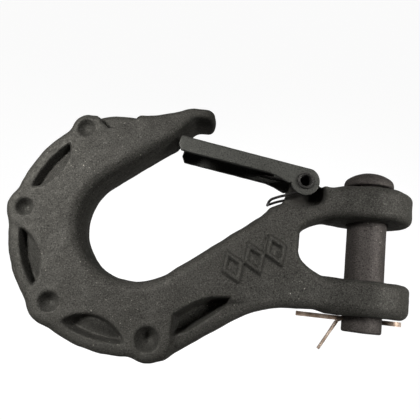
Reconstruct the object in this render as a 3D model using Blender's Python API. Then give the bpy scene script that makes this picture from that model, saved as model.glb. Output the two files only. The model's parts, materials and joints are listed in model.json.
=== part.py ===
"""Clevis slip hook with a sprung latch, for the end of a trailer's safety chain.

The hook lies flat.  +X runs from the bowl to the clevis, +Y points to the beak's side, which is also the
side of the clevis pin's head, and +Z is square to the hook's flat faces.  The origin is under the middle of
the whole part, on the plane that the two clevis eyes rest on.

Dimensions are in millimetres.  Outlines are drawn in the clevis frame, whose origin is the middle of the
clevis pin's axis in the hook's middle plane; PIN_X, PIN_Y and MID_Z place that point in the world.
"""

import math

import bmesh
import bpy
from mathutils import Vector

MM = 0.001

# Place of the clevis frame in the world
PIN_X = 52.740
PIN_Y = 0.123
MID_Z = 14.2715

# Hook body: half thickness of the forging, and how its section narrows from the parting line to the faces
BODY_HALF = 9.2
BODY_LAYERS = ((-9.2, 1.4), (-8.3, 0.7), (-6.0, 0.4), (0.0, 0.0), (6.0, 0.4), (8.3, 0.7), (9.2, 1.4))

# Bosses stand just proud of the faces
BOSS_LAYERS = ((-9.3, 1.6), (-8.6, 0.8), (-5.0, 0.25), (5.0, 0.25), (8.6, 0.8), (9.3, 1.6))

# Bowl and throat
BOWL_CENTRE = (-76.4, 0.7)
BOWL_RADIUS = 17.8
SEAT_RADIUS = 21.4
THROAT_ANGLE = 38.0
THROAT_TOP_X = -66.8
NECK_X = -36.0

# Outer rim, with its round bosses: direction from the rim's centre, distance to the middle, radius
RIM_CENTRE = (-77.8, -0.8)
RIM_RADIUS = 40.4
BOSSES = ((120.6, 37.2, 6.0), (174.4, 35.1, 7.3), (229.4, 33.9, 8.2), (286.8, 35.2, 8.2))
DIMPLE_RADII = (3.4, 3.2, 3.4, 4.0)
DIMPLE_DEPTHS = (1.7, 2.3, 2.5, 3.2)

# Lens-shaped pockets between the bosses
POCKET_OUTER = 35.3
POCKET_INNER = 29.8
POCKET_HALF_ANGLE = 15.3
POCKET_DEPTHS = ((0.4, 2.7), (0.7, 3.3), (1.9, 3.6))
POCKET_FLANK_RADIUS = 12.3

# Shank
SHANK_ANGLE = 34.8
SHANK_START = (-62.5, -40.8)
SHANK_FILLET = 36.0

# Clevis
EYE_RADIUS = 14.3
UPPER_EYE = (10.2, 20.6)
LOWER_EYE = (-9.4, -20.3)
JAW_DEPTH = 22.6
BORE_RADIUS = 6.7
PIN_RADIUS = 6.35

# Latch
PIVOT = (-22.75, 21.0)
LATCH_DIRECTION = 170.75
LATCH_HALF_WIDTH = 8.4
SHEET = 1.5
LATCH_LENGTH = 43.8
LATCH_EAR_RADIUS = 4.7
LATCH_BACK = 4.6
WEB_START = 9.5
RELIEF_RADIUS = 8.1
TONGUE_HALF = 3.2
TONGUE_RADIUS = 4.1

# Latch rivet
RIVET_RADIUS = 2.2
RIVET_BORE = 1.7
RIVET_BORE_DEPTH = 5.5
RIVET_RIM = 2.75

# Latch spring
WIRE_RADIUS = 0.42
COIL_RADIUS = 3.1
COIL_INNER_Z = 4.57
COIL_OUTER_Z = 6.3
BRIDGE_ANGLE = 262.0
COIL_TURN_DEG = 539.0

# Clevis pin
HEAD_RADIUS = 8.2
HEAD_UNDER = 22.0
HEAD_TOP = 27.7
PIN_END = -25.5
PIN_CHAMFER = 0.9
COTTER_Y = -21.35
COTTER_HOLE = 1.15

# Cotter pin, folded from half-round wire
COTTER_WIDTH = 1.3
COTTER_THICK = 0.7
COTTER_LEG_Z = 0.45
COTTER_EYE_RADIUS = 2.7


def clear_scene():
    for found in list(bpy.data.objects):
        bpy.data.objects.remove(found, do_unlink=True)


def material(name, colour, roughness, metallic):
    made = bpy.data.materials.new(name)
    made.use_nodes = True
    shader = made.node_tree.nodes["Principled BSDF"]
    shader.inputs["Base Color"].default_value = (*colour, 1.0)
    shader.inputs["Roughness"].default_value = roughness
    shader.inputs["Metallic"].default_value = metallic
    return made


def add_object(name, bm, place=(0.0, 0.0, 0.0), smooth_angle=35.0):
    """Object from a mesh in millimetres, with its origin at a point of the clevis frame."""
    bmesh.ops.recalc_face_normals(bm, faces=bm.faces)
    bmesh.ops.scale(bm, vec=(MM, MM, MM), verts=bm.verts)
    mesh = bpy.data.meshes.new(name)
    bm.to_mesh(mesh)
    bm.free()
    mesh.shade_smooth()
    mesh.set_sharp_from_angle(angle=math.radians(smooth_angle))
    made = bpy.data.objects.new(name, mesh)
    bpy.context.collection.objects.link(made)
    made.location = world(*place)
    return made


def world(x, y, z):
    return Vector(((x + PIN_X) * MM, (y + PIN_Y) * MM, (z + MID_Z) * MM))


def boolean(target, tool, operation):
    """Join a tool to a target, or cut it out; the tool stays as a guide."""
    tool.hide_render = True
    tool.display_type = "WIRE"
    step = target.modifiers.new(tool.name, "BOOLEAN")
    step.operation = operation
    step.solver = "EXACT"
    step.object = tool


def polar(centre, radius, degrees):
    turn = math.radians(degrees)
    return (centre[0] + radius * math.cos(turn), centre[1] + radius * math.sin(turn))


def arc(centre, radius, start, end, pitch=3.0):
    """Points along an arc, about one every pitch millimetres, with both ends."""
    steps = max(3, round(abs(math.radians(end - start)) * radius / pitch))
    return [polar(centre, radius, start + (end - start) * i / steps) for i in range(steps + 1)]


def flowing(points, per_span=3):
    """A smooth curve through the points (Catmull-Rom), with both ends."""
    guides = [points[0], *points, points[-1]]
    out = []
    for i in range(1, len(guides) - 2):
        a, b, c, d = (Vector(p) for p in guides[i - 1 : i + 3])
        for k in range(per_span):
            t = k / per_span
            out.append(tuple(0.5 * (2 * b + (c - a) * t + (2 * a - 5 * b + 4 * c - d) * t**2
                                    + (3 * b - a - 3 * c + d) * t**3)))
    return out + [tuple(points[-1])]


def inset_outline(outline, inset):
    """A closed anticlockwise outline moved inwards, keeping one point per point."""
    moved = []
    for i, here in enumerate(outline):
        before = Vector(outline[i - 1])
        after = Vector(outline[(i + 1) % len(outline)])
        into = (Vector(here) - before).normalized()
        away = (after - Vector(here)).normalized()
        left = Vector((-into.y, into.x)) + Vector((-away.y, away.x))
        reach = inset * 2.0 / max(left.length_squared, 0.8)
        moved.append((here[0] + left.x * reach, here[1] + left.y * reach))
    return moved


def loft(outline, layers, upright="Z"):
    """Closed solid through insets of one outline: layers are (height, inset) along Z or Y."""
    bm = bmesh.new()
    rings = []
    for height, inset in layers:
        ring = inset_outline(outline, inset)
        if upright == "Z":
            rings.append([bm.verts.new((u, v, height)) for u, v in ring])
        else:
            rings.append([bm.verts.new((u, height, v)) for u, v in ring])
    for low, high in zip(rings, rings[1:]):
        for i in range(len(low)):
            j = (i + 1) % len(low)
            bm.faces.new((low[i], low[j], high[j], high[i]))
    bm.faces.new(rings[0])
    bm.faces.new(rings[-1])
    return bm


def prism(outline, bottom, top):
    return loft(outline, ((bottom, 0.0), (top, 0.0)))


def turned(profile, steps, axis):
    """Solid of revolution: profile points are (radius, height), first and last on the axis or joined."""
    bm = bmesh.new()
    open_ended = profile[0][0] == 0.0
    points = [bm.verts.new((r, 0.0, h)) for r, h in profile]
    edges = [bm.edges.new(pair) for pair in zip(points, points[1:])]
    if not open_ended:
        edges.append(bm.edges.new((points[-1], points[0])))
    bmesh.ops.spin(bm, geom=points + edges, cent=(0, 0, 0), axis=(0, 0, 1), dvec=(0, 0, 0),
                   angle=math.tau, steps=steps, use_merge=True)
    bmesh.ops.remove_doubles(bm, verts=bm.verts, dist=1e-4)
    if axis == "Y":
        for vert in bm.verts:
            vert.co = Vector((vert.co.x, vert.co.z, -vert.co.y))
    elif axis == "X":
        for vert in bm.verts:
            vert.co = Vector((vert.co.z, vert.co.x, vert.co.y))
    return bm


def rod(radius, start, end, steps, axis):
    return turned([(0.0, start), (radius, start), (radius, end), (0.0, end)], steps, axis)


# ---------------------------------------------------------------- hook body


def beak_outline():
    """Underside of the beak from the throat, its round tip, and its top back to the first boss."""
    underside = flowing([(THROAT_TOP_X, throat_line(THROAT_TOP_X, 1)), (-65.1, 33.6), (-63.2, 36.0),
                         (-61.0, 37.9), (-58.0, 38.4)], 2)
    tip = arc((-56.6, 40.2), 1.9, -70, 90, 1.0)
    top = flowing([(-60.2, 42.2), (-63.4, 41.9), (-68.7, 40.1), (-74.0, 38.8), (-79.4, 37.8), (-92.3, 37.4)])
    return underside + tip + top


def throat_line(x, side):
    """Height at x of a throat wall: side 1 is the beak's wall."""
    touch = polar(BOWL_CENTRE, BOWL_RADIUS, 90 + THROAT_ANGLE)
    if side < 0:
        touch = polar((BOWL_CENTRE[0], BOWL_CENTRE[1] - BOWL_RADIUS + SEAT_RADIUS), SEAT_RADIUS,
                      THROAT_ANGLE - 90)
    return touch[1] + (x - touch[0]) * math.tan(math.radians(THROAT_ANGLE))


def shank_outline():
    """Underside of the shank: a straight flank, then a hollow curve into the lower clevis arm."""
    arm_y = LOWER_EYE[1] + 0.1
    slope = math.radians(SHANK_ANGLE)
    end_y = arm_y - SHANK_FILLET * (1 - math.cos(slope))
    end_x = SHANK_START[0] + (end_y - SHANK_START[1]) / math.tan(slope)
    centre = (end_x + SHANK_FILLET * math.sin(slope), arm_y - SHANK_FILLET)
    line = [(SHANK_START[0] + (end_x - SHANK_START[0]) * k / 4,
             SHANK_START[1] + (end_y - SHANK_START[1]) * k / 4) for k in range(4)]
    return line + arc(centre, SHANK_FILLET, 90 + SHANK_ANGLE, 90) + [(0.0, arm_y)]


def jaw_outline():
    """The clevis jaw from the lower arm's end round to the upper arm's end."""
    low = LOWER_EYE[0] - 0.2
    high = UPPER_EYE[0] + 0.2
    lower_corner = flowing([(-10.0, low), (-13.9, -8.8), (-18.1, -6.8), (-21.4, -4.6), (-JAW_DEPTH, -1.8)])
    upper_corner = flowing([(-JAW_DEPTH, 4.0), (-21.4, 6.2), (-18.7, 8.0), (-15.2, 9.6), (-11.0, high)])
    return [(0.0, low)] + lower_corner + upper_corner + [(0.0, high)]


def latch_seat_outline():
    """Top of the upper arm, the round relief for the latch's ear, and the neck's shoulder."""
    arm_y = UPPER_EYE[1] - 0.3
    corner = [(-13.4, arm_y), (-14.3, arm_y - 0.3)]
    relief = arc(PIVOT, RELIEF_RADIUS, -14, -122, 2.0)
    shoulder = [(-29.0, 13.7), (-31.2, 12.9), (-33.6, 11.7), (NECK_X, throat_line(NECK_X, -1))]
    return [(0.0, arm_y), (-8.0, arm_y)] + corner + relief + shoulder


def bowl_outline():
    """The bowl's inner wall, from the neck round to the beak's wall."""
    seat_centre = (BOWL_CENTRE[0], BOWL_CENTRE[1] - BOWL_RADIUS + SEAT_RADIUS)
    neck = (NECK_X, throat_line(NECK_X, -1))
    touch = polar(seat_centre, SEAT_RADIUS, THROAT_ANGLE - 90)
    line = [(neck[0] + (touch[0] - neck[0]) * k / 5, neck[1] + (touch[1] - neck[1]) * k / 5)
            for k in range(1, 5)]
    seat = arc(seat_centre, SEAT_RADIUS, THROAT_ANGLE - 90, -90, 2.5)
    back = arc(BOWL_CENTRE, BOWL_RADIUS, -90, THROAT_ANGLE - 270, 2.5)
    return line + seat + back[1:]


def body_outline():
    rim = arc(RIM_CENTRE, RIM_RADIUS, 112, 282)
    return rim + shank_outline() + jaw_outline() + latch_seat_outline() + bowl_outline() + beak_outline()


def boss_centre(boss):
    return polar(RIM_CENTRE, boss[1], boss[0])


def add_bosses(body):
    for number, boss in enumerate(BOSSES, 1):
        outline = arc(boss_centre(boss), boss[2], 0, 345, boss[2] * math.tau / 24)
        tool = add_object(f"boss_{number}_guide", loft(outline, BOSS_LAYERS))
        boolean(body, tool, "UNION")


def face_cut(body, name, outline, floor, side):
    """Cut an outline into one face, down to a floor height measured from the middle plane."""
    tool = add_object(f"{name}_{'front' if side > 0 else 'back'}_cutter",
                      prism(outline, side * floor, side * (BODY_HALF + 3.0)))
    boolean(body, tool, "DIFFERENCE")


def cut_rim_notch(body, side):
    """The forging's step between the first boss and the beak."""
    outline = [(-96.5, 41.0), (-95.2, 36.0), (-91.6, 33.7), (-89.3, 32.3), (-87.7, 32.5), (-85.2, 33.7),
               (-81.2, 36.0), (-79.0, 41.0)]
    face_cut(body, "rim_notch", outline, 3.6, side)


def cut_shank_flange(body, side):
    """The lowered flange along the underside of the shank."""
    outline = [(-60.1, -32.0), (-44.0, -20.6), (-38.5, -20.6), (-33.5, -24.5), (-45.0, -35.0),
               (-60.1, -46.0)]
    face_cut(body, "shank_flange", outline, 7.2, side)


def cut_shank_pocket(body, side):
    """The deep wedge between the last boss and the shank."""
    outline = [(-60.3, -26.9)] + flowing([(-54.8, -22.4), (-49.5, -20.1), (-44.9, -19.4)], 2)
    outline += [(-44.6, -21.9), (-50.6, -27.2), (-55.9, -31.0), (-60.2, -32.6)]
    face_cut(body, "shank_pocket", outline, 2.6, side)


def cut_rim_pocket(body, name, direction, depths, side):
    """A lens-shaped pocket, deepest along its outer wall; depths are at the inner and outer walls."""
    half = POCKET_HALF_ANGLE
    outer = arc((0, 0), POCKET_OUTER, -half, half)
    flank_centre = (POCKET_INNER + POCKET_FLANK_RADIUS, 0)
    end_u, end_v = outer[-1]
    flank_turn = math.degrees(math.atan2(end_v, end_u - flank_centre[0]))
    inner = arc(flank_centre, POCKET_FLANK_RADIUS, flank_turn, 360 - flank_turn)
    bm = prism(outer + inner[1:-1], BODY_HALF + 3.0, BODY_HALF)
    slope = (depths[1] - depths[0]) / (POCKET_OUTER - POCKET_INNER)
    for vert in bm.verts:
        if vert.co.z < BODY_HALF + 1.0:
            vert.co.z -= depths[0] + slope * (vert.co.x - POCKET_INNER)
        vert.co.z *= side
        turned_to = polar(RIM_CENTRE, vert.co.xy.length,
                          direction + math.degrees(math.atan2(vert.co.y, vert.co.x)))
        vert.co.xy = turned_to
    tool = add_object(f"{name}_{'front' if side > 0 else 'back'}_cutter", bm)
    boolean(body, tool, "DIFFERENCE")


def cut_dimples(body, side):
    for number, boss in enumerate(BOSSES, 1):
        bm = bmesh.new()
        radius = DIMPLE_RADII[number - 1]
        bmesh.ops.create_uvsphere(bm, u_segments=14, v_segments=8, radius=radius)
        x, y = boss_centre(boss)
        height = BOSS_LAYERS[-1][0] + radius - DIMPLE_DEPTHS[number - 1]
        bmesh.ops.translate(bm, vec=(x, y, side * height), verts=bm.verts)
        tool = add_object(f"dimple_{number}_{'front' if side > 0 else 'back'}_cutter", bm)
        boolean(body, tool, "DIFFERENCE")


def add_tongue(body):
    """The thin tongue that the latch turns on, standing out of the neck."""
    left = [(-24.0, 9.0), (-29.5, 9.5), (-29.8, 12.6), (-28.8, 15.3), (-27.6, 18.4)]
    crown = arc(PIVOT, TONGUE_RADIUS, 190, 55, 1.6)
    right = [(-18.4, 22.4), (-16.9, 20.8), (-15.0, 20.0), (-12.0, 18.0), (-15.0, 12.0)]
    outline = list(reversed(left + crown + right))
    edge = TONGUE_HALF - 0.6
    tool = add_object("tongue_guide", loft(outline, ((-TONGUE_HALF, 0.5), (-edge, 0.0), (edge, 0.0),
                                                     (TONGUE_HALF, 0.5))))
    boolean(body, tool, "UNION")


def eye_profile():
    """Side view of a clevis eye: a round, flared into the arm's flat sides."""
    flare = [(-14.6, 8.6), (-13.0, 9.0), (-11.6, 9.7)]
    join = 180 - math.degrees(math.acos(10.0 / EYE_RADIUS))
    return ([(x, -z) for x, z in flare] + arc((0, 0), EYE_RADIUS, -join, join, 2.4)
            + [(x, z) for x, z in reversed(flare)])


def add_eye(body, name, inner, outer):
    """One clevis eye, rounded more on its outer rim than inside the jaw."""
    way = 1.0 if outer > inner else -1.0
    layers = [(inner, 1.9), (inner + way * 0.6, 0.8), (inner + way * 1.9, 0.0), (outer - way * 2.6, 0.0),
              (outer - way * 0.8, 1.0), (outer, 2.6)]
    layers.sort()
    tool = add_object(f"{name}_eye_guide", loft(eye_profile(), layers, "Y"))
    boolean(body, tool, "UNION")


def add_lozenges(body):
    """A plain row of three raised lozenges on the front face of the shank."""
    turn = math.radians(27.0)
    along = Vector((math.cos(turn), math.sin(turn)))
    across = Vector((-along.y, along.x))
    for number in range(3):
        middle = Vector((-43.2, -9.3)) + along * 6.9 * number
        outline = [tuple(middle + along * a * 2.8 + across * b * 4.6)
                   for a, b in ((-1, 0), (0, -1), (1, 0), (0, 1))]
        tool = add_object(f"lozenge_{number + 1}_guide",
                          loft(outline, ((BODY_HALF - 0.6, 0.0), (BODY_HALF + 0.8, 0.3))))
        boolean(body, tool, "UNION")


def hook_body():
    body = add_object("hook_body", loft(body_outline(), BODY_LAYERS))
    for side in (1, -1):
        cut_rim_notch(body, side)
        cut_shank_flange(body, side)
    add_bosses(body)
    for side in (1, -1):
        for number in range(3):
            direction = (BOSSES[number][0] + BOSSES[number + 1][0]) / 2
            cut_rim_pocket(body, f"rim_pocket_{number + 1}", direction, POCKET_DEPTHS[number], side)
        cut_shank_pocket(body, side)
        cut_dimples(body, side)
    add_tongue(body)
    add_eye(body, "upper", *UPPER_EYE)
    add_eye(body, "lower", *LOWER_EYE)
    boolean(body, add_object("clevis_bore_cutter", rod(BORE_RADIUS, -24.0, 24.0, 32, "Y")), "DIFFERENCE")
    pivot_cutter = add_object("pivot_bore_cutter", rod(RIVET_RADIUS + 0.3, -7.0, 7.0, 20, "Z"),
                              (*PIVOT, 0.0))
    boolean(body, pivot_cutter, "DIFFERENCE")
    add_lozenges(body)
    body.data.materials.append(material("forged_black", (0.085, 0.082, 0.076), 0.62, 0.3))
    return body


# ---------------------------------------------------------------- latch and its hinge


def latch():
    """Channel latch in its own frame: +X to the tip, -Y to its back, turned to its closed place."""
    ear = arc((0, 0), LATCH_EAR_RADIUS, -102, -339, 1.6)
    side = [(LATCH_LENGTH - 0.2, -LATCH_BACK), (LATCH_LENGTH, -1.5), (LATCH_LENGTH - 1.3, 0.45), (12.0, 0.0)]
    side += [(8.6, 0.7), (6.4, 1.4)]
    outline = side + list(reversed(ear))
    made = add_object("latch", prism(outline, -LATCH_HALF_WIDTH, LATCH_HALF_WIDTH), (*PIVOT, 0.0))
    inside = LATCH_BACK - SHEET
    hollow = [(-9.0, -9.0), (WEB_START, -9.0), (WEB_START, -inside), (50.0, -inside), (50.0, 9.0), (-9.0, 9.0)]
    half = LATCH_HALF_WIDTH - SHEET
    for tool in (add_object("latch_hollow_cutter", prism(hollow, -half, half), (*PIVOT, 0.0)),
                 add_object("latch_rivet_cutter", rod(RIVET_RADIUS + 0.3, -12.0, 12.0, 20, "Z"),
                            (*PIVOT, 0.0))):
        tool.rotation_euler.z = math.radians(LATCH_DIRECTION)
        boolean(made, tool, "DIFFERENCE")
    made.rotation_euler.z = math.radians(LATCH_DIRECTION)
    made.data.materials.append(material("latch_black", (0.09, 0.088, 0.082), 0.5, 0.4))
    return made


def latch_rivet():
    """Rivet with a blind bore in each end, its rims rolled over the latch's two ears."""
    rim_under = LATCH_HALF_WIDTH + 0.25
    rim_top = LATCH_HALF_WIDTH + 0.85
    upper = [(RIVET_RADIUS, rim_under - 0.5), (RIVET_RIM - 0.15, rim_under), (RIVET_RIM, rim_under + 0.25),
             (RIVET_RADIUS + 0.1, rim_top), (RIVET_BORE + 0.1, rim_top - 0.2), (RIVET_BORE, rim_under - 0.4)]
    upper += [(RIVET_BORE, rim_top - RIVET_BORE_DEPTH), (0.0, rim_top - RIVET_BORE_DEPTH)]
    profile = [(r, -z) for r, z in reversed(upper)] + upper
    made = add_object("latch_rivet", turned(profile, 24, "Z"), (*PIVOT, 0.0))
    made.data.materials.append(material("rivet_black", (0.1, 0.098, 0.093), 0.45, 0.6))
    return made


def spring_half():
    """One half of the spring's wire in the pivot's frame, from the bridge's middle to its free end."""
    bridge_z = COIL_INNER_Z
    leg = [(-10.9, -7.1, 0.0), (-10.9, -7.1, bridge_z - 1.8), (-10.6, -6.8, bridge_z - 0.7),
           (-9.8, -6.2, bridge_z), (-7.4, -5.2, bridge_z), (-5.0, -4.4, bridge_z), (-2.6, -3.6, bridge_z)]
    steps = 18
    coil = []
    for k in range(steps + 1):
        share = k / steps
        x, y = polar((0, 0), COIL_RADIUS, BRIDGE_ANGLE + COIL_TURN_DEG * share)
        coil.append((x, y, COIL_INNER_Z + (COIL_OUTER_Z - COIL_INNER_Z) * share))
    out = Vector(polar((0, 0), 1.0, LATCH_DIRECTION))
    back = Vector((-out.y, out.x)) * -1.0
    free = [(*(out * u + back * v), COIL_OUTER_Z) for u, v in ((5.0, 2.6), (9.5, 2.2), (16.0, 2.1))]
    return leg + coil + free


def latch_spring():
    """Double torsion spring: two coils on the rivet, joined by a bridge that bears on the neck."""
    half = spring_half()
    route = [(x, y, -z) for x, y, z in reversed(half[1:])] + half
    data = bpy.data.curves.new("latch_spring", "CURVE")
    data.dimensions = "3D"
    data.bevel_depth = WIRE_RADIUS * MM
    data.bevel_resolution = 1
    data.use_fill_caps = True
    spline = data.splines.new("POLY")
    spline.points.add(len(route) - 1)
    for point, place in zip(spline.points, route):
        point.co = (*(Vector(place) * MM), 1.0)
    made = bpy.data.objects.new("latch_spring", data)
    bpy.context.collection.objects.link(made)
    made.location = world(*PIVOT, 0.0)
    made.data.materials.append(material("spring_wire", (0.05, 0.048, 0.046), 0.4, 0.8))
    return made


# ---------------------------------------------------------------- clevis pin and cotter pin


def clevis_pin():
    """Headed pin with a low domed head, a chamfered end and a cross hole for the cotter."""
    rim_y = HEAD_UNDER + 1.6
    dome_height = HEAD_TOP - rim_y
    dome_radius = (HEAD_RADIUS**2 + dome_height**2) / (2 * dome_height)
    widest = math.asin(HEAD_RADIUS / dome_radius)
    dome = [(dome_radius * math.sin(widest * k / 5), HEAD_TOP - dome_radius * (1 - math.cos(widest * k / 5)))
            for k in range(6)]
    stem = [(HEAD_RADIUS, HEAD_UNDER + 0.7), (HEAD_RADIUS - 0.6, HEAD_UNDER), (PIN_RADIUS, HEAD_UNDER),
            (PIN_RADIUS, PIN_END + PIN_CHAMFER), (PIN_RADIUS - PIN_CHAMFER, PIN_END), (0.0, PIN_END)]
    made = add_object("clevis_pin", turned(dome + stem, 32, "Y"))
    cross = add_object("cotter_hole_cutter", rod(COTTER_HOLE, -9.0, 9.0, 14, "X"), (0.0, COTTER_Y, 0.0))
    boolean(made, cross, "DIFFERENCE")
    made.data.materials.append(material("pin_black", (0.09, 0.085, 0.08), 0.5, 0.5))
    return made


def cotter_route():
    """Middle line of the folded wire and the direction of its width, from the straight leg's tip."""
    width = Vector((0, 1, 0))
    route = [(Vector((-21.6, 0, COTTER_LEG_Z)), width), (Vector((-6.0, 0, COTTER_LEG_Z)), width),
             (Vector((6.2, 0, COTTER_LEG_Z)), width)]
    eye_x = 9.6
    for degrees in range(145, -146, -29):
        x, z = polar((eye_x, 0.0), COTTER_EYE_RADIUS, degrees)
        route.append((Vector((x, 0, z)), width))
    route += [(Vector((6.2, 0, -COTTER_LEG_Z)), width), (Vector((-6.0, 0, -COTTER_LEG_Z)), width),
              (Vector((-7.3, -0.4, -COTTER_LEG_Z)), Vector((0.3, 0.95, 0))),
              (Vector((-8.2, -1.5, -COTTER_LEG_Z)), Vector((0.55, 0.5, 0.65))),
              (Vector((-10.2, -4.9, -COTTER_LEG_Z)), Vector((0, 0, 1))),
              (Vector((-13.4, -10.4, -COTTER_LEG_Z)), Vector((0, 0, 1)))]
    return route


def cotter_pin():
    """Split pin through the clevis pin: one leg left straight, the other bent away from the hook."""
    route = cotter_route()
    section = [(-0.5, -0.5), (0.5, -0.5), (0.5, 0.15), (0.25, 0.5), (-0.25, 0.5), (-0.5, 0.15)]
    bm = bmesh.new()
    rings = []
    for i, (place, width) in enumerate(route):
        before = route[max(i - 1, 0)][0]
        after = route[min(i + 1, len(route) - 1)][0]
        along = (after - before).normalized()
        wide = (width - along * width.dot(along)).normalized()
        thick = wide.cross(along)
        rings.append([bm.verts.new(place + wide * COTTER_WIDTH * a + thick * COTTER_THICK * b)
                      for a, b in section])
    for low, high in zip(rings, rings[1:]):
        for i in range(len(section)):
            j = (i + 1) % len(section)
            bm.faces.new((low[i], low[j], high[j], high[i]))
    bm.faces.new(rings[0])
    bm.faces.new(rings[-1])
    made = add_object("cotter_pin", bm, (0.0, COTTER_Y, 0.0))
    made.data.materials.append(material("cotter_steel", (0.3, 0.22, 0.16), 0.45, 0.8))
    return made


def main():
    clear_scene()
    hook_body()
    latch()
    latch_rivet()
    latch_spring()
    clevis_pin()
    cotter_pin()


main()
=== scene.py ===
import math

import bmesh
import bpy
import numpy as np
from mathutils import Matrix, Vector
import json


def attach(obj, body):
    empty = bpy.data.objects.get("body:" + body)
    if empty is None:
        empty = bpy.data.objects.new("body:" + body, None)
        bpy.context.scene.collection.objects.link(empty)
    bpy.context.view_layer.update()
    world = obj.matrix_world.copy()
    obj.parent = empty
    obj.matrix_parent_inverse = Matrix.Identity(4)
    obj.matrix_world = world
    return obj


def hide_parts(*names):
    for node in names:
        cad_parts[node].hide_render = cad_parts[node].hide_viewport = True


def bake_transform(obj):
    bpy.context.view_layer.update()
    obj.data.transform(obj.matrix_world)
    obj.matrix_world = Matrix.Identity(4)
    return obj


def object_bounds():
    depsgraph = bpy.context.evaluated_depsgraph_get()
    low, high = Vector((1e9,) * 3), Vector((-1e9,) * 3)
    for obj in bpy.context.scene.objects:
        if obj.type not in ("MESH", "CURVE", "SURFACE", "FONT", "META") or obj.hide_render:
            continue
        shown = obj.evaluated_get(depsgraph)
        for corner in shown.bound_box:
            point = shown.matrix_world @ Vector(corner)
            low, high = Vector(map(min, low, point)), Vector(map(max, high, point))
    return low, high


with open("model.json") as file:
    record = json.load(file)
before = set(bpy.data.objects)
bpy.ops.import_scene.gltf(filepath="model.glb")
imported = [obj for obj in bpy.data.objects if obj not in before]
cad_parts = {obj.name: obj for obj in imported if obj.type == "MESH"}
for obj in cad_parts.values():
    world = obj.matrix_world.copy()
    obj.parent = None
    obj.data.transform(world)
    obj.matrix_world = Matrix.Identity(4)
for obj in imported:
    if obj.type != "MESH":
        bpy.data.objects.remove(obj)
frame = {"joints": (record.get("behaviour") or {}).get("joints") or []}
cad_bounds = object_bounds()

MM = 0.001
JOINTS = {j["name"]: j for j in frame["joints"]}
BOX_LOW = np.array(cad_bounds[0]) + 0.01 * MM
BOX_HIGH = np.array(cad_bounds[1]) - 0.01 * MM
PIN = np.array(JOINTS["clevis_pin_turn"]["pos_m"]) / MM
PIVOT_WORLD = np.array(JOINTS["latch_hinge"]["pos_m"]) / MM
PIVOT = tuple((PIVOT_WORLD - PIN)[:2])

# Everything below is drawn in millimetres in the clevis frame: the origin is the middle of the clevis
# pin's axis, +X points away from the bowl, +Y to the pin's head, +Z out of the front face.
BODY_HALF = 9.2
DRAFT = 0.075
EDGE_ROUND = 2.3

BOWL_CENTRE = (-76.4, 0.7)
BOWL_RADIUS = 17.8
SEAT_RADIUS = 21.4
THROAT_ANGLE = 38.0
THROAT_TOP_X = -66.8
NECK_X = -36.0

RIM_CENTRE = (-77.8, -0.8)
RIM_RADIUS = 40.4
# angle and distance from the rim's centre, radius, dimple depth, dimple radius
BOSSES = ((120.6, 37.2, 5.8, 2.0, 3.1), (174.4, 35.1, 7.1, 2.8, 3.0), (229.4, 33.9, 8.0, 3.3, 3.4),
          (286.8, 35.2, 8.0, 4.6, 4.1))
POCKET_OUTER = 35.3
POCKET_INNER = 29.6
POCKET_HALF_ANGLE = 15.8
POCKET_DEPTHS = ((0.5, 3.0), (0.8, 3.9), (2.2, 4.4))
POCKET_WIDEN = (0.0, 0.2, 0.6)

SHANK_ANGLE = 34.8
SHANK_START = (-62.5, -40.8)
SHANK_FILLET = 36.0
FLANGE_FLOOR = 5.0
WEDGE_FLOOR = 0.4
NOTCH_FLOOR = 3.6

LOZENGE_START = (-43.6, -9.4)
LOZENGE_TURN = 27.0
LOZENGE_PITCH = 7.3
LOZENGE_HALF = (3.5, 5.2)
LOZENGE_RISE = 1.45

EYE_RADIUS = 14.12
UPPER_EYE = (10.15, 20.6)
LOWER_EYE = (-20.15, -9.4)
JAW_DEPTH = 22.6
BORE_RADIUS = 6.7
BEAK_END_X = -54.0

LATCH_DIRECTION = 170.75
LATCH_HALF_WIDTH = 8.4
SHEET = 1.5
LATCH_LENGTH = 43.6
LATCH_EAR_RADIUS = 4.7
LATCH_BACK = 4.6
WEB_START = 9.5
TONGUE_HALF = 3.0

COIL_RADIUS = 3.1
COIL_START = 262
COIL_TURN = 539
WIRE_RADIUS = 0.45

STEM_RADIUS = 6.4
HEAD_RADIUS = 8.2
CROSS_HOLE_Y = -21.35
CROSS_HOLE_RADIUS = 1.15
# a little out of the hole's middle, clear of both the hole and the lower eye
COTTER_Y = -21.43

CELL = 0.42


# ---------------------------------------------------------------- plan curves


def polar(centre, radius, degrees):
    turn = math.radians(degrees)
    return (centre[0] + radius * math.cos(turn), centre[1] + radius * math.sin(turn))


def polar_z(radius, degrees, z):
    x, y = polar((0, 0), radius, degrees)
    return (x, y, z)


def arc(centre, radius, start, end, pitch=1.0):
    steps = max(4, round(abs(math.radians(end - start)) * radius / pitch))
    return [polar(centre, radius, start + (end - start) * i / steps) for i in range(steps + 1)]


def flowing(points, per_span=6):
    guides = [points[0], *points, points[-1]]
    out = []
    for i in range(1, len(guides) - 2):
        a, b, c, d = (np.array(p, float) for p in guides[i - 1 : i + 3])
        for k in range(per_span):
            t = k / per_span
            out.append(tuple(0.5 * (2 * b + (c - a) * t + (2 * a - 5 * b + 4 * c - d) * t**2
                                    + (3 * b - a - 3 * c + d) * t**3)))
    return out + [tuple(points[-1])]


def throat_line(x, side):
    touch = polar(BOWL_CENTRE, BOWL_RADIUS, 90 + THROAT_ANGLE)
    if side < 0:
        seat = (BOWL_CENTRE[0], BOWL_CENTRE[1] - BOWL_RADIUS + SEAT_RADIUS)
        touch = polar(seat, SEAT_RADIUS, THROAT_ANGLE - 90)
    return touch[1] + (x - touch[0]) * math.tan(math.radians(THROAT_ANGLE))


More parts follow.
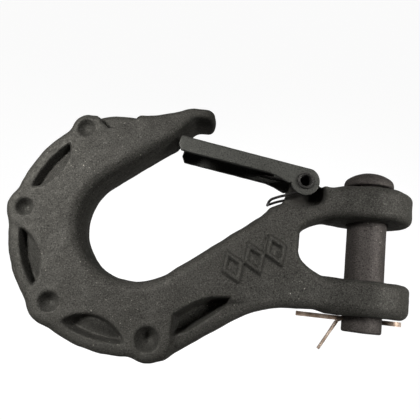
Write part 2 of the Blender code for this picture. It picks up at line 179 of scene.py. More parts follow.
def beak_outline():
    underside = flowing([(THROAT_TOP_X, throat_line(THROAT_TOP_X, 1)), (-65.1, 33.6), (-63.2, 36.0),
                         (-61.0, 38.2), (-58.4, 38.75)])
    tip = arc((-55.8, 40.4), 1.75, -75, 90, 0.4)
    top = flowing([(-60.2, 42.3), (-63.4, 42.1), (-68.7, 40.7), (-74.0, 39.3), (-79.6, 38.6), (-81.6, 39.0),
                   (-86.0, 39.2), (-91.0, 38.6), (-94.4, 37.7)])
    return underside + tip + top


def shank_outline():
    arm_y = LOWER_EYE[0] + 0.8
    slope = math.radians(SHANK_ANGLE)
    end_y = LOWER_EYE[0] + 0.1 - SHANK_FILLET * (1 - math.cos(slope))
    end_x = SHANK_START[0] + (end_y - SHANK_START[1]) / math.tan(slope)
    centre = (end_x + SHANK_FILLET * math.sin(slope), LOWER_EYE[0] + 0.1 - SHANK_FILLET)
    return [SHANK_START] + arc(centre, SHANK_FILLET, 90 + SHANK_ANGLE, 90) + [(-12.0, arm_y), (0.0, arm_y)]


def jaw_outline():
    low = LOWER_EYE[1] - 0.8
    high = UPPER_EYE[0] + 0.4
    lower_corner = flowing([(-9.0, low), (-13.9, -9.0), (-18.1, -6.9), (-21.4, -4.5), (-JAW_DEPTH, -1.8)])
    upper_corner = flowing([(-JAW_DEPTH, 4.0), (-21.5, 5.8), (-18.8, 7.5), (-15.2, 9.15), (-10.5, high)])
    return [(0.0, low)] + lower_corner + upper_corner + [(0.0, high)]


def latch_seat_outline():
    arm_y = UPPER_EYE[1] - 0.6
    corner = [(-8.0, arm_y), (-13.0, arm_y + 0.4), (-16.4, arm_y + 0.7)]
    relief = flowing([(-17.2, 20.2), (-16.6, 18.4), (-16.3, 16.6), (-17.3, 14.8), (-19.8, 13.6), (-23.0, 13.0),
                      (-26.4, 13.1)])
    shoulder = [(-29.0, 13.7), (-31.2, 12.9), (-33.4, 11.8), (-34.3, 10.5), (NECK_X, throat_line(NECK_X, -1))]
    return [(0.0, arm_y)] + corner + relief + shoulder


def bowl_outline():
    seat = (BOWL_CENTRE[0], BOWL_CENTRE[1] - BOWL_RADIUS + SEAT_RADIUS)
    wall = arc(seat, SEAT_RADIUS, THROAT_ANGLE - 90, -90)
    return wall + arc(BOWL_CENTRE, BOWL_RADIUS, -90, THROAT_ANGLE - 270)[1:]


def body_outline():
    rim = arc(RIM_CENTRE, RIM_RADIUS, 116, 282)
    return rim + shank_outline() + jaw_outline() + latch_seat_outline() + bowl_outline() + beak_outline()


def tongue_outline():
    left = [(-24.0, 9.0), (-29.5, 9.5), (-29.6, 12.6), (-28.6, 15.3), (-27.4, 18.4)]
    crown = arc(PIVOT, 4.1, 190, 55)
    right = [(-18.4, 22.4), (-16.9, 20.8), (-15.0, 20.0), (-12.0, 18.0), (-15.0, 12.0)]
    return left + crown + right


# ---------------------------------------------------------------- distance fields


def sstep(low, high, value):
    t = np.clip((value - low) / (high - low), 0, 1)
    return t * t * (3 - 2 * t)


def soft_min(a, b, k):
    h = np.clip(0.5 + 0.5 * (b - a) / k, 0, 1)
    return b + (a - b) * h - k * h * (1 - h)


def soft_max(a, b, k):
    return -soft_min(-a, -b, k)


def open_distance(x, y, line):
    """Distance to an open line."""
    nearest = np.full(x.shape, 1e9)
    for (ax, ay), (bx, by) in zip(line, line[1:]):
        ex, ey = bx - ax, by - ay
        length = ex * ex + ey * ey
        if length < 1e-9:
            continue
        t = np.clip(((x - ax) * ex + (y - ay) * ey) / length, 0, 1)
        nearest = np.minimum(nearest, (x - ax - ex * t) ** 2 + (y - ay - ey * t) ** 2)
    return np.sqrt(nearest)


def outline_distance(x, y, outline):
    """Signed distance to a closed outline, negative inside."""
    inside = np.zeros(x.shape, bool)
    for (ax, ay), (bx, by) in zip(outline, outline[1:] + outline[:1]):
        if ay != by:
            crosses = (ay > y) != (by > y)
            inside ^= crosses & (x < (bx - ax) * (y - ay) / (by - ay) + ax)
    return np.where(inside, -1, 1) * open_distance(x, y, outline + outline[:1])


def slab(side, face, radius):
    """Rounded meeting of a side distance and a face distance."""
    a = side + radius
    b = face + radius
    return np.minimum(np.maximum(a, b), 0) + np.hypot(np.maximum(a, 0), np.maximum(b, 0)) - radius


def sampling(low, high, cell):
    """Plan coordinates, levels and an empty field for a box."""
    axes = [np.arange(a, b + cell, cell) for a, b in zip(low, high)]
    x, y = np.meshgrid(axes[0], axes[1], indexing="ij")
    return x, y, axes[2], np.empty([len(axis) for axis in axes], np.float32)


def surface_nets(field, low, cell):
    """Triangle-free mesh of the zero surface of a field sampled on a grid: vertices and quads."""
    inside = field < 0
    corners = [(i, j, k) for i in (0, 1) for j in (0, 1) for k in (0, 1)]
    nx, ny, nz = (n - 1 for n in field.shape)
    count = np.zeros((nx, ny, nz), np.int8)
    for i, j, k in corners:
        count += inside[i : i + nx, j : j + ny, k : k + nz]
    cells = np.argwhere((count > 0) & (count < 8))
    number = np.full((nx, ny, nz), -1, np.int64)
    number[tuple(cells.T)] = np.arange(len(cells))
    total = np.zeros((len(cells), 3))
    hits = np.zeros(len(cells))
    for a in corners:
        for axis in range(3):
            if a[axis]:
                continue
            b = list(a)
            b[axis] = 1
            fa = field[tuple((cells + a).T)]
            fb = field[tuple((cells + b).T)]
            cut = (fa < 0) != (fb < 0)
            t = np.where(cut, fa / np.where(fa == fb, 1, fa - fb), 0)
            point = np.repeat(np.array([a], float), len(cells), 0)
            point[:, axis] += t
            total += np.where(cut[:, None], point, 0)
            hits += cut
    verts = (cells + total / hits[:, None]) * cell + low
    quads = []
    for axis in range(3):
        u, v = (axis + 1) % 3, (axis + 2) % 3
        first = [slice(1, -1)] * 3
        second = [slice(1, -1)] * 3
        first[axis] = slice(0, -1)
        second[axis] = slice(1, None)
        a, b = inside[tuple(first)], inside[tuple(second)]
        start = np.zeros(3, int)
        start[u] = start[v] = 1
        for solid_first in (True, False):
            at = np.argwhere(a & ~b if solid_first else b & ~a) + start
            ring = []
            for du, dv in ((1, 1), (0, 1), (0, 0), (1, 0)):
                shift = np.zeros(3, int)
                shift[u], shift[v] = du, dv
                ring.append(number[tuple((at - shift).T)])
            if not solid_first:
                ring.reverse()
            quads.append(np.stack(ring, 1))
    return verts, np.concatenate(quads)


def settle(verts, field, low, cell, rounds=3):
    """Moves the vertices onto the zero surface, along the field's slope."""
    slope = np.stack(np.gradient(field, cell), -1).astype(np.float32)
    normals = None
    for _ in range(rounds):
        at = (verts - low) / cell
        base = np.clip(at.astype(int), 0, np.array(field.shape) - 2)
        f = at - base
        value = np.zeros(len(verts))
        gradient = np.zeros((len(verts), 3))
        for i in (0, 1):
            for j in (0, 1):
                for k in (0, 1):
                    w = (f[:, 0] if i else 1 - f[:, 0]) * (f[:, 1] if j else 1 - f[:, 1])
                    w = w * (f[:, 2] if k else 1 - f[:, 2])
                    where = (base[:, 0] + i, base[:, 1] + j, base[:, 2] + k)
                    value += w * field[where]
                    gradient += w[:, None] * slope[where]
        size = np.maximum((gradient**2).sum(1), 0.05)
        step = np.clip(value / size, -0.5 * cell, 0.5 * cell)
        verts = verts - step[:, None] * gradient
        normals = gradient / np.sqrt(size)[:, None]
    return verts, normals


def skin(field, low, cell):
    """Vertices, normals and quads of a field's zero surface."""
    verts, quads = surface_nets(field, low, cell)
    verts, normals = settle(verts, field, low, cell)
    return verts, normals, quads


def ripple(points, size, seed, waves=14):
    """Smooth unevenness between about -1 and 1."""
    rng = np.random.default_rng(seed)
    ways = rng.normal(size=(waves, 3))
    ways /= np.linalg.norm(ways, axis=1)[:, None]
    total = np.zeros(len(points))
    for way, phase, stretch in zip(ways, rng.uniform(0, math.tau, waves), rng.uniform(0.6, 1.6, waves)):
        total += np.sin(points @ way * math.tau * stretch / size + phase)
    return total / math.sqrt(waves)


def piece(name, verts, faces, material, body, nodes):
    """Shown object from millimetres in the clevis frame, riding on a CAD body if one is given."""
    mesh = bpy.data.meshes.new(name)
    places = np.clip((np.asarray(verts, float) + PIN) * MM, BOX_LOW, BOX_HIGH)
    mesh.from_pydata(places.tolist(), [], [list(map(int, f)) for f in faces])
    mesh.update()
    mesh.shade_smooth()
    made = bpy.data.objects.new(name, mesh)
    bpy.context.collection.objects.link(made)
    made.data.materials.append(material)
    if body:
        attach(made, body)
    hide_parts(*nodes)
    return made


# ---------------------------------------------------------------- hook body


def boss_away(boss, x, y):
    """Distance from a boss's centre."""
    cx, cy = polar(RIM_CENTRE, boss[1], boss[0])
    return np.hypot(x - cx, y - cy)


def rim_pockets(x, y):
    """Depth of the three lens-shaped pockets between the bosses."""
    dx, dy = x - RIM_CENTRE[0], y - RIM_CENTRE[1]
    r = np.hypot(dx, dy)
    depth = np.zeros(x.shape)
    half = math.radians(POCKET_HALF_ANGLE)
    end_u, end_v = POCKET_OUTER * math.cos(half), POCKET_OUTER * math.sin(half)
    bulge = end_u - POCKET_INNER
    flank = (end_v**2 + bulge**2) / (2 * bulge)
    for number, (shallow, deep) in enumerate(POCKET_DEPTHS):
        turn = math.radians((BOSSES[number][0] + BOSSES[number + 1][0]) / 2)
        u = dx * math.cos(turn) + dy * math.sin(turn)
        v = -dx * math.sin(turn) + dy * math.cos(turn)
        inner = np.hypot(u - POCKET_INNER - flank, v) - flank
        lens = soft_max(r - POCKET_OUTER, inner, 0.8) - POCKET_WIDEN[number]
        floor = shallow + (deep - shallow) * sstep(POCKET_INNER, POCKET_OUTER - 0.5, r)
        depth = np.maximum(depth, floor * sstep(-0.35, 1.0, -lens))
    return depth


def lozenges(x, y):
    """Height of a plain row of three hollow lozenges."""
    turn = math.radians(LOZENGE_TURN)
    rise = np.zeros(x.shape)
    for number in range(3):
        cx = LOZENGE_START[0] + LOZENGE_PITCH * number * math.cos(turn)
        cy = LOZENGE_START[1] + LOZENGE_PITCH * number * math.sin(turn)
        a = (x - cx) * math.cos(turn) + (y - cy) * math.sin(turn)
        b = -(x - cx) * math.sin(turn) + (y - cy) * math.cos(turn)
        edge = (np.abs(a) / LOZENGE_HALF[0] + np.abs(b) / LOZENGE_HALF[1] - 1) * 2.9
        rise = np.maximum(rise, sstep(-0.45, 0.45, 0.7 - np.abs(edge + 0.5)))
    return LOZENGE_RISE * rise


def face_height(x, y, front):
    """Height of a face above the middle plane."""
    dx, dy = x - RIM_CENTRE[0], y - RIM_CENTRE[1]
    r = np.hypot(dx, dy)
    angle = np.degrees(np.arctan2(dy, dx)) % 360
    strip = sstep(33.0, 38.0, r) * sstep(112, 118, angle) * (1 - sstep(284, 292, angle))
    height = BODY_HALF - 0.35 * strip - rim_pockets(x, y)
    # the shank falls away a little towards its underside
    throat = math.radians(THROAT_ANGLE)
    below = (x - NECK_X) * math.sin(throat) - (y - throat_line(NECK_X, -1)) * math.cos(throat)
    height = height - 0.0016 * np.clip(below, 0, 30) ** 2 * sstep(-62.0, -46.0, x) * sstep(-4.0, -18.0, x)

    flange = [(-60.5, -32.0), (-44.0, -20.4), (-38.5, -19.6), (-30.0, -24.5), (-45.0, -37.0),
              (-60.5, -48.0)]
    drop = sstep(-0.8, 0.8, -outline_distance(x, y, flange)) * (1 - sstep(-46.0, -36.0, x))
    shank = math.radians(SHANK_ANGLE)
    across = (x - SHANK_START[0]) * math.sin(shank) - (y - SHANK_START[1]) * math.cos(shank)
    floor = FLANGE_FLOOR - 0.3 * np.clip(across, -7, 0)
    height = np.minimum(height, height + (floor - height) * drop)

    wedge = [(-60.5, -26.5)] + flowing([(-54.8, -22.3), (-49.5, -20.0), (-43.5, -19.2)], 3)
    wedge += [(-44.0, -21.2), (-50.6, -26.8), (-55.9, -30.8), (-60.4, -32.4)]
    inside = -outline_distance(x, y, wedge)
    height = np.minimum(height, height + (WEDGE_FLOOR - height) * sstep(-0.6, 1.2, inside))

    for boss in BOSSES:
        pad = sstep(-0.9, 1.6, boss[2] - boss_away(boss, x, y))
        height = height + (BODY_HALF - height) * pad
    for boss in BOSSES:
        away = boss_away(boss, x, y)
        height = height - boss[3] * np.clip(1 - (away / boss[4]) ** 2, 0, 1) ** 1.2
    notch = [(-96.6, 43.0), (-95.2, 37.2), (-93.0, 35.6), (-91.6, 33.8), (-89.3, 32.4), (-87.7, 32.6),
             (-85.2, 33.7), (-81.2, 36.2), (-77.0, 43.0)]
    height = height + (NOTCH_FLOOR - height) * sstep(-0.35, 0.35, -outline_distance(x, y, notch))
    if front:
        height = height + lozenges(x, y)
    return height


def bowl_side(x, y):
    """1 beside the bowl and throat, 0 beside every other edge."""
    wall = bowl_outline() + [(THROAT_TOP_X, throat_line(THROAT_TOP_X, 1))]
    wall = [(NECK_X, throat_line(NECK_X, -1))] + wall
    near = open_distance(x, y, wall)
    other = np.hypot(x - BOWL_CENTRE[0], y - BOWL_CENTRE[1])
    return sstep(9.0, 4.0, near) * (other < 75) * sstep(33.0, 27.0, y)


def hook_field(cell):
    low = np.array([-120.2, -42.8, -15.4])
    high = np.array([15.4, 43.0, 15.4])
    x, y, levels, field = sampling(low, high, cell)
    side = outline_distance(x, y, body_outline())
    for boss in BOSSES:
        side = soft_min(side, boss_away(boss, x, y) - boss[2], 1.6)
    tongue = outline_distance(x, y, tongue_outline())
    heights = {True: face_height(x, y, True), False: face_height(x, y, False)}
    rivet = np.hypot(x - PIVOT[0], y - PIVOT[1])
    edge_round = EDGE_ROUND + 1.1 * bowl_side(x, y)
    beak = sstep(-70.0, -61.0, x) * sstep(30.0, 36.0, y)
    draft = DRAFT * (1 - 0.8 * beak)
    edge_round = edge_round - 0.7 * beak
    edge_round = edge_round - 0.9 * sstep(11.5, 9.0, rivet)
    upper = np.abs(y - sum(UPPER_EYE) / 2) - (UPPER_EYE[1] - UPPER_EYE[0]) / 2
    lower = np.abs(y - sum(LOWER_EYE) / 2) - (LOWER_EYE[1] - LOWER_EYE[0]) / 2
    eyes = np.minimum(upper, lower)
    # each eye is rounded more on its outer rim than inside the jaw
    eye_round = 2.0 + 1.0 * sstep(14.0, 18.0, np.abs(y - 0.4))
    for k, z in enumerate(levels):
        body = slab(side + draft * abs(z), abs(z) - heights[z > 0], edge_round)
        body = soft_min(body, slab(tongue, abs(z) - TONGUE_HALF, 0.6), 0.9)
        # the beak's end is rounded from face to face too
        tip = x - BEAK_END_X + 2.8 * (abs(z) / BODY_HALF) ** 2.5
        body = np.where(y > 30, soft_max(body, tip, 1.2), body)
        ring = np.hypot(x, z)
        eye = slab(ring - EYE_RADIUS, eyes, eye_round)
        body = soft_min(body, eye, 3.2)
        body = soft_max(body, BORE_RADIUS - ring, 0.7)
        body = np.maximum(body, 2.5 - rivet)
        field[:, :, k] = body
    return field, low


def hook_body(material):
    field, low = hook_field(CELL)
    verts, normals, quads = skin(field, low, CELL)
    uneven = 0.07 * ripple(verts, 9.0, 1) + 0.03 * ripple(verts, 3.0, 2)
    verts = verts + normals * (uneven + 0.02)[:, None]
    return piece("hook_forging", verts, quads, material, "hook", ["hook_body"])


# ---------------------------------------------------------------- latch and its hinge


def latch_field(cell):
    """The channel in its own frame: +X to the tip, -Y to its back."""
    low = np.array([-5.6, -5.8, -9.0])
    high = np.array([44.4, 5.6, 9.0])
    x, y, levels, field = sampling(low, high, cell)
    ear = arc((0, 0), LATCH_EAR_RADIUS, -102, -339, 0.4)
    edge = [(LATCH_LENGTH - 0.2, -LATCH_BACK), (LATCH_LENGTH, -1.5), (LATCH_LENGTH - 1.3, 0.55), (12.0, 0.3)]
    edge += flowing([(8.6, 0.9), (6.4, 1.6), (5.0, 2.0)], 3)
    plan = outline_distance(x, y, edge + list(reversed(ear)))
    hole = 2.35 - np.hypot(x, y)
    for k, z in enumerate(levels):
        face = abs(z) - LATCH_HALF_WIDTH
        # the fold: the back's long edges are bent round a radius
        fold = slab(np.maximum(-LATCH_BACK - y, -50), face + 0 * y, 0.8)
        outer = soft_max(np.maximum(plan, fold), face + 0 * y, 0.35)
        plate = abs(z) - (LATCH_HALF_WIDTH - SHEET) + 0 * y
        inner = slab(-(y + LATCH_BACK - SHEET), plate, 0.5)
        clear = np.minimum(inner, np.maximum(plate, x - WEB_START))
        body = soft_max(outer, -clear, 0.3)
        field[:, :, k] = soft_max(body, hole, 0.2)
    return field, low


def latch(material):
    cell = 0.25
    field, low = latch_field(cell)
    verts, normals, quads = skin(field, low, cell)
    verts = verts + normals * (0.015 * ripple(verts, 5.0, 3) - 0.03)[:, None]
    turn = math.radians(LATCH_DIRECTION)
    spin = np.array([[math.cos(turn), -math.sin(turn), 0], [math.sin(turn), math.cos(turn), 0], [0, 0, 1]])
    verts = verts @ spin.T + np.array([*PIVOT, 0])
    return piece("latch_channel", verts, quads, material, "latch", ["latch"])


def revolved(name, profile, steps, centre, material, body, nodes):
    """Solid of revolution of (radius, height) points about a line along Z."""
    verts = []
    faces = []
    rings = []
    for r, h in profile:
        if r < 1e-6:
            rings.append([len(verts)] * steps)
            verts.append((0, 0, h))
            continue
        rings.append(list(range(len(verts), len(verts) + steps)))
        for i in range(steps):
            x, y = polar((0, 0), r, 360 * i / steps)
            verts.append((x, y, h))
    for low, high in zip(rings, rings[1:]):
        for i in range(steps):
            j = (i + 1) % steps
            corner = [low[i], low[j], high[j], high[i]]
            face = [v for n, v in enumerate(corner) if v not in corner[:n]]
            if len(face) > 2:
                faces.append(face)
    return piece(name, np.array(verts) + np.array(centre), faces, material, body, nodes)


def latch_rivet(material):
    under = LATCH_HALF_WIDTH + 0.03
    top = LATCH_HALF_WIDTH + 0.8
    lip = [(2.2, under - 0.5), (2.2, under), (2.5, under + 0.02), (2.66, under + 0.12), (2.72, under + 0.28),
           (2.68, under + 0.48), (2.52, top - 0.1), (2.3, top), (2.08, top - 0.02), (1.92, top - 0.12),
           (1.8, top - 0.32), (1.75, under - 0.4), (1.7, top - 5.3), (0.0, top - 5.4)]
    profile = [(r, -h) for r, h in reversed(lip)] + lip
    return revolved("rivet_turned", profile, 48, (*PIVOT, 0), material, "latch", ["latch_rivet"])


def tube_faces(rings, sides):
    """Faces round and at both ends of a tube of rings."""
    faces = []
    for ring in range(rings - 1):
        for i in range(sides):
            j = (i + 1) % sides
            a, b = ring * sides, (ring + 1) * sides
            faces.append([a + i, a + j, b + j, b + i])
    faces.append(list(range(sides))[::-1])
    faces.append([(rings - 1) * sides + i for i in range(sides)])
    return faces


def swept(name, route, radius, sides, material, nodes):
    """Round wire along a smooth route, on no body yet."""
    route = np.asarray(route, float)
    tangents = np.gradient(route, axis=0)
    tangents /= np.linalg.norm(tangents, axis=1)[:, None]
    normal = np.cross(tangents[0], (0.3, 0.5, 0.8))
    verts = []
    for place, along in zip(route, tangents):
        normal = normal - along * (normal @ along)
        normal /= np.linalg.norm(normal)
        other = np.cross(along, normal)
        for i in range(sides):
            turn = math.tau * i / sides
            verts.append(place + radius * (normal * math.cos(turn) + other * math.sin(turn)))
    return piece(name, verts, tube_faces(len(route), sides), material, None, nodes)


def latch_spring(material):
    bridge_z = 4.57
    outer_z = 6.3
    leg = flowing([(-10.9, -7.1, 0.0), (-10.9, -7.1, bridge_z - 2.0), (-10.7, -6.9, bridge_z - 0.8),
                   (-9.9, -6.3, bridge_z), (-7.4, -5.2, bridge_z), (-5.0, -4.4, bridge_z),
                   (-2.6, -3.6, bridge_z), polar_z(COIL_RADIUS, COIL_START, bridge_z)], 5)
    steps = 84
    coil = []
    for k in range(1, steps + 1):
        share = k / steps
        z = bridge_z + (outer_z - bridge_z) * share
        coil.append(polar_z(COIL_RADIUS, COIL_START + COIL_TURN * share, z))
    out = np.array(polar((0, 0), 1.0, LATCH_DIRECTION))
    back = np.array([out[1], -out[0]])
    free = [(*(out * u + back * v), outer_z) for u, v in ((3.0, 2.8), (6.0, 2.5), (11.0, 2.2), (16.0, 2.1))]
    half = leg + coil + free
    route = [(x, y, -z) for x, y, z in reversed(half[1:])] + half
    route = np.array(route) + np.array([*PIVOT, 0])
    made = swept("spring_wire", route, WIRE_RADIUS, 12, material, ["latch_spring"])
    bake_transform(made)
    return made


# ---------------------------------------------------------------- clevis pin and cotter


def clevis_pin(material):
    cell = 0.32
    low = np.array([-8.8, -26.2, -8.8])
    high = np.array([8.8, 28.4, 8.8])
    x, y, levels, field = sampling(low, high, cell)
    for k, z in enumerate(levels):
        ring = np.hypot(x, z)
        stem = slab(ring - STEM_RADIUS, np.maximum(-25.5 - y, y - 24.0), 0.75)
        dome = np.sqrt(ring**2 + (y - 15.6) ** 2) - 12.15
        head = slab(ring - HEAD_RADIUS, 22.2 - y, 0.5)
        head = soft_max(head, dome, 1.0)
        pin = soft_min(stem, head, 0.5)
        hole = CROSS_HOLE_RADIUS - np.hypot(y - CROSS_HOLE_Y, z)
        field[:, :, k] = soft_max(pin, hole, 0.25)
    verts, normals, quads = skin(field, low, cell)
    verts = verts + normals * (0.02 * ripple(verts, 6.0, 4) - 0.04)[:, None]
    return piece("pin_turned", verts, quads, material, "pin", ["clevis_pin"])


def cotter_pin(material):
    wide_y = Vector((0, 1, 0))
    straight_z = 0.45
    stations = [((-21.4, 0, straight_z), wide_y), ((-14.0, 0, straight_z), wide_y),
                ((-6.0, 0, straight_z), wide_y), ((6.2, 0, straight_z), wide_y)]
    for degrees in range(150, -151, -15):
        x, z = polar((9.6, 0.0), 2.7, degrees)
        stations.append(((x, 0, z), wide_y))
    z = -straight_z
    stations += [((6.2, 0, z), wide_y), ((-6.0, 0, z), wide_y), ((-6.8, -0.15, z), Vector((0.15, 1, 0))),
                 ((-7.4, -0.5, z), Vector((0.35, 0.9, 0.1))), ((-7.9, -1.1, z), Vector((0.5, 0.6, 0.5))),
                 ((-8.4, -1.9, z), Vector((0.4, 0.3, 0.8))), ((-10.2, -4.9, z), Vector((0, 0, 1))),
                 ((-13.4, -10.4, z), Vector((0, 0, 1)))]
    turns = [math.radians(d) for d in range(0, 181, 20)]
    section = [(0.72 * math.cos(turn), 0.1 + 0.45 * math.sin(turn)) for turn in turns]
    section = [(-0.74, -0.35), (0.74, -0.35)] + [(a, max(b, -0.3)) for a, b in section]
    verts = []
    for i, (place, wide) in enumerate(stations):
        before = Vector(stations[max(i - 1, 0)][0])
        after = Vector(stations[min(i + 1, len(stations) - 1)][0])
        along = (after - before).normalized()
        across = (wide - along * wide.dot(along)).normalized()
        thick = across.cross(along)
        for a, b in section:
            verts.append(tuple(Vector(place) + across * a + thick * b + Vector((0, COTTER_Y, 0))))
    faces = tube_faces(len(stations), len(section))
    made = piece("cotter_wire", verts, faces, material, "pin", ["cotter_pin"])
    made.data.set_sharp_from_angle(angle=math.radians(40))
    return made


# ---------------------------------------------------------------- materials


class Shader:
    """Small helper that builds a node tree."""

    def __init__(self, name):
        self.material = bpy.data.materials.new(name)
        self.material.use_nodes = True
        self.nodes = self.material.node_tree.nodes
        self.links = self.material.node_tree.links
        self.principled = self.nodes["Principled BSDF"]
        self.place = self.add("ShaderNodeTexCoord").outputs["Object"]

    def add(self, kind, **settings):
        node = self.nodes.new(kind)
        for key, value in settings.items():
            setattr(node, key, value)
        return node

    def feed(self, socket, value):
        if isinstance(value, bpy.types.NodeSocket):
            self.links.new(value, socket)
        else:
            socket.default_value = value

    def noise(self, scale, detail=2.0, roughness=0.5):
        node = self.add("ShaderNodeTexNoise")
        self.feed(node.inputs["Vector"], self.place)
        self.feed(node.inputs["Scale"], scale)
        self.feed(node.inputs["Detail"], detail)
        self.feed(node.inputs["Roughness"], roughness)
        return node.outputs["Fac"]

    def ramp(self, value, low, high, out_low=0.0, out_high=1.0):
        node = self.add("ShaderNodeMapRange")
        self.feed(node.inputs["Value"], value)
        self.feed(node.inputs["From Min"], low)
        self.feed(node.inputs["From Max"], high)
        self.feed(node.inputs["To Min"], out_low)
        self.feed(node.inputs["To Max"], out_high)
        return node.outputs["Result"]

    def mix(self, share, a, b):
        node = self.add("ShaderNodeMix", data_type="RGBA")
        self.feed(node.inputs["Factor"], share)
        self.feed(node.inputs["A"], a)
        self.feed(node.inputs["B"], b)
        return node.outputs["Result"]

    def math(self, operation, a, b):
        node = self.add("ShaderNodeMath", operation=operation)
        self.feed(node.inputs[0], a)
        self.feed(node.inputs[1], b)
        return node.outputs["Value"]

    def painted_hinge_shade(self):
        """1 in the hollow round the latch's hinge and 0 elsewhere: the mask of a painted shade, a darker tone
        that stands in for the shadow under the latch's ear.
        """
        part = self.add("ShaderNodeSeparateXYZ")
        self.feed(part.inputs["Vector"], self.place)
        x = self.math("SUBTRACT", part.outputs["X"], float(PIVOT_WORLD[0] * MM))
        y = self.math("SUBTRACT", part.outputs["Y"], float(PIVOT_WORLD[1] * MM))
        z = self.math("SUBTRACT", part.outputs["Z"], float(PIVOT_WORLD[2] * MM))
        z = self.math("ABSOLUTE", z, 0.0)
        square = self.math("ADD", self.math("MULTIPLY", x, x), self.math("MULTIPLY", y, y))
        away = self.math("SQRT", square, 0.0)
        near = self.ramp(away, 8.0 * MM, 5.8 * MM)
        return self.math("MULTIPLY", near, self.ramp(z, 8.4 * MM, 6.4 * MM))

    def bump(self, height, distance, strength=1.0, normal=None):
        node = self.add("ShaderNodeBump")
        self.feed(node.inputs["Height"], height)
        self.feed(node.inputs["Distance"], distance)
        self.feed(node.inputs["Strength"], strength)
        if normal is not None:
            self.links.new(normal, node.inputs["Normal"])
        return node.outputs["Normal"]


def rgb(r, g, b):
    """Linear colour from 0-255 screen values."""
    out = [((v / 255 + 0.055) / 1.055) ** 2.4 if v > 10 else v / 255 / 12.92 for v in (r, g, b)]
    return (*out, 1.0)


def coated(name, base, dark, light, grain, roughness, paint_hinge_shade=False):
    """Matt black coat over blasted metal: sandy grain, light specks, patchy tone, and on request a painted
    shade round the latch's hinge.
    """
    s = Shader(name)
    patch = s.ramp(s.noise(90.0, 3.0), 0.35, 0.65)
    colour = s.mix(patch, dark, base)
    fine = s.noise(2600.0, 2.0, 0.65)
    colour = s.mix(s.ramp(fine, 0.5, 0.72, 0.0, 0.85), colour, light)
    pits = s.ramp(s.noise(2000.0, 3.0, 0.6), 0.32, 0.5)
    pitted = s.math("MULTIPLY", s.math("SUBTRACT", 1.0, pits), 0.68)
    colour = s.mix(pitted, colour, (0.004, 0.004, 0.004, 1))
    sparse = s.ramp(s.noise(1500.0, 1.0, 0.5), 0.72, 0.79)
    specks = s.math("MULTIPLY", sparse, s.ramp(s.noise(60.0, 2.0), 0.45, 0.6))
    colour = s.mix(specks, colour, rgb(128, 125, 117))
    # painted shade: a darker tone round the latch's hinge, standing in for the shadow under the latch's ear
    if paint_hinge_shade:
        colour = s.mix(s.painted_hinge_shade(), colour, rgb(31, 30, 28))
    s.feed(s.principled.inputs["Base Color"], colour)
    uneven = s.ramp(s.noise(700.0, 3.0), 0.3, 0.7, roughness - 0.08, roughness + 0.1)
    s.feed(s.principled.inputs["Roughness"], uneven)
    s.feed(s.principled.inputs["Metallic"], 0.4)
    s.feed(s.principled.inputs["Specular IOR Level"], 0.0)
    s.feed(s.principled.inputs["Specular Tint"], (0.45, 0.45, 0.45, 1))
    coarse = s.bump(s.noise(420.0, 3.0, 0.6), grain * 1.4 * MM)
    s.feed(s.principled.inputs["Normal"], s.bump(fine, grain * MM, 1.0, coarse))
    return s.material


def bare_wire(name, base, tint, roughness, metallic):
    s = Shader(name)
    s.feed(s.principled.inputs["Specular IOR Level"], 0.1)
    colour = s.mix(s.ramp(s.noise(400.0, 3.0), 0.35, 0.65), base, tint)
    s.feed(s.principled.inputs["Base Color"], colour)
    uneven = s.ramp(s.noise(900.0, 3.0), 0.3, 0.7, roughness - 0.08, roughness + 0.1)
    s.feed(s.principled.inputs["Roughness"], uneven)
    s.feed(s.principled.inputs["Metallic"], metallic)
    s.feed(s.principled.inputs["Normal"], s.bump(s.noise(1500.0, 2.0), 0.03 * MM))
    return s.material


# ---------------------------------------------------------------- studio


def area_light(name, place, aim, size, power, spread):
    data = bpy.data.lights.new(name, "AREA")
    data.shape = "SQUARE"
    data.size = size
    data.energy = power
    data.spread = math.radians(spread)
    lamp = bpy.data.objects.new(name, data)
    lamp.location = place
    lamp.rotation_euler = (Vector(aim) - Vector(place)).to_track_quat("-Z", "Y").to_euler()
    bpy.context.collection.objects.link(lamp)


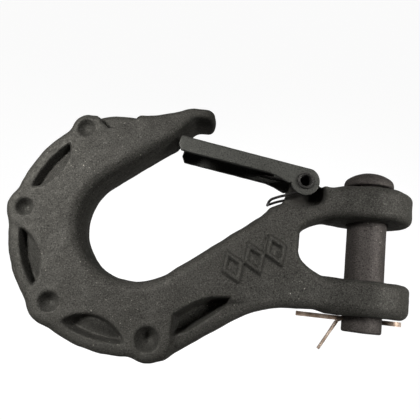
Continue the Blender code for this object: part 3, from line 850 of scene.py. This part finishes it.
def studio():
    scene = bpy.context.scene
    scene.view_settings.view_transform = "Standard"
    world = bpy.data.worlds.new("studio")
    scene.world = world
    world.use_nodes = True
    sky = world.node_tree
    sky.nodes["Background"].inputs["Color"].default_value = (1.0, 0.99, 0.97, 1)
    # pale walls at the horizon, dim above
    upward = sky.nodes.new("ShaderNodeSeparateXYZ")
    sky.links.new(sky.nodes.new("ShaderNodeTexCoord").outputs["Generated"], upward.inputs["Vector"])
    fade = sky.nodes.new("ShaderNodeMapRange")
    sky.links.new(upward.outputs["Z"], fade.inputs["Value"])
    fade.inputs["From Min"].default_value = 0.05
    fade.inputs["From Max"].default_value = 0.4
    fade.inputs["To Min"].default_value = 0.85
    fade.inputs["To Max"].default_value = 0.08
    sky.links.new(fade.outputs["Result"], sky.nodes["Background"].inputs["Strength"])
    mesh = bpy.data.meshes.new("floor")
    bm = bmesh.new()
    bmesh.ops.create_grid(bm, x_segments=1, y_segments=1, size=3.0)
    bm.to_mesh(mesh)
    bm.free()
    floor = bpy.data.objects.new("floor", mesh)
    floor.location = (0, 0, -0.3)
    bpy.context.collection.objects.link(floor)
    s = Shader("floor")
    s.feed(s.principled.inputs["Base Color"], (0.12, 0.12, 0.12, 1))
    s.feed(s.principled.inputs["Roughness"], 0.8)
    s.feed(s.principled.inputs["Emission Color"], (1, 1, 1, 1))
    s.feed(s.principled.inputs["Emission Strength"], 0.94)
    floor.data.materials.append(s.material)
    area_light("key", (-0.27, 0.13, 0.36), (-0.082, 0.012, 0.01), 0.11, 0.39, 42)
    area_light("side", (0.27, 0.03, 0.20), (0.094, 0, 0.01), 0.12, 0.18, 40)


def camera():
    data = bpy.data.cameras.new("camera")
    data.sensor_width = 36.0
    data.lens = 43.2
    made = bpy.data.objects.new("camera", data)
    right = Vector((0.993631, 0.111309, -0.017545))
    up = Vector((-0.10617, 0.976948, 0.185202))
    back = Vector((0.037756, -0.182159, 0.982544))
    place = Vector(((PIN + np.array([-46.545, -21.68, 168.6])) * MM).tolist())
    made.matrix_world = Matrix((
        (right.x, up.x, back.x, place.x),
        (right.y, up.y, back.y, place.y),
        (right.z, up.z, back.z, place.z),
        (0, 0, 0, 1),
    ))
    bpy.context.collection.objects.link(made)
    bpy.context.scene.camera = made


def main():
    studio()
    # the forging's coat carries a painted shade round the latch's hinge
    forged = coated("forged_coat", rgb(50, 49, 46), rgb(45, 44, 41), rgb(73, 72, 68), 0.04, 0.62,
                    paint_hinge_shade=True)
    pressed = coated("pressed_coat", rgb(58, 58, 55), rgb(53, 53, 50), rgb(70, 69, 66), 0.015, 0.55)
    turned = coated("turned_coat", rgb(53, 50, 48), rgb(48, 45, 43), rgb(68, 65, 62), 0.02, 0.6)
    rivet = coated("rivet_coat", rgb(48, 47, 45), rgb(42, 41, 40), rgb(60, 59, 56), 0.012, 0.5)
    spring = bare_wire("spring_steel", rgb(26, 25, 24), rgb(36, 34, 33), 0.5, 0.3)
    cotter = bare_wire("cotter_steel", rgb(96, 80, 68), rgb(138, 124, 112), 0.45, 0.5)
    hook_body(forged)
    latch(pressed)
    latch_rivet(rivet)
    latch_spring(spring)
    clevis_pin(turned)
    cotter_pin(cotter)
    camera()


main()

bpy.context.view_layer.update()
import json
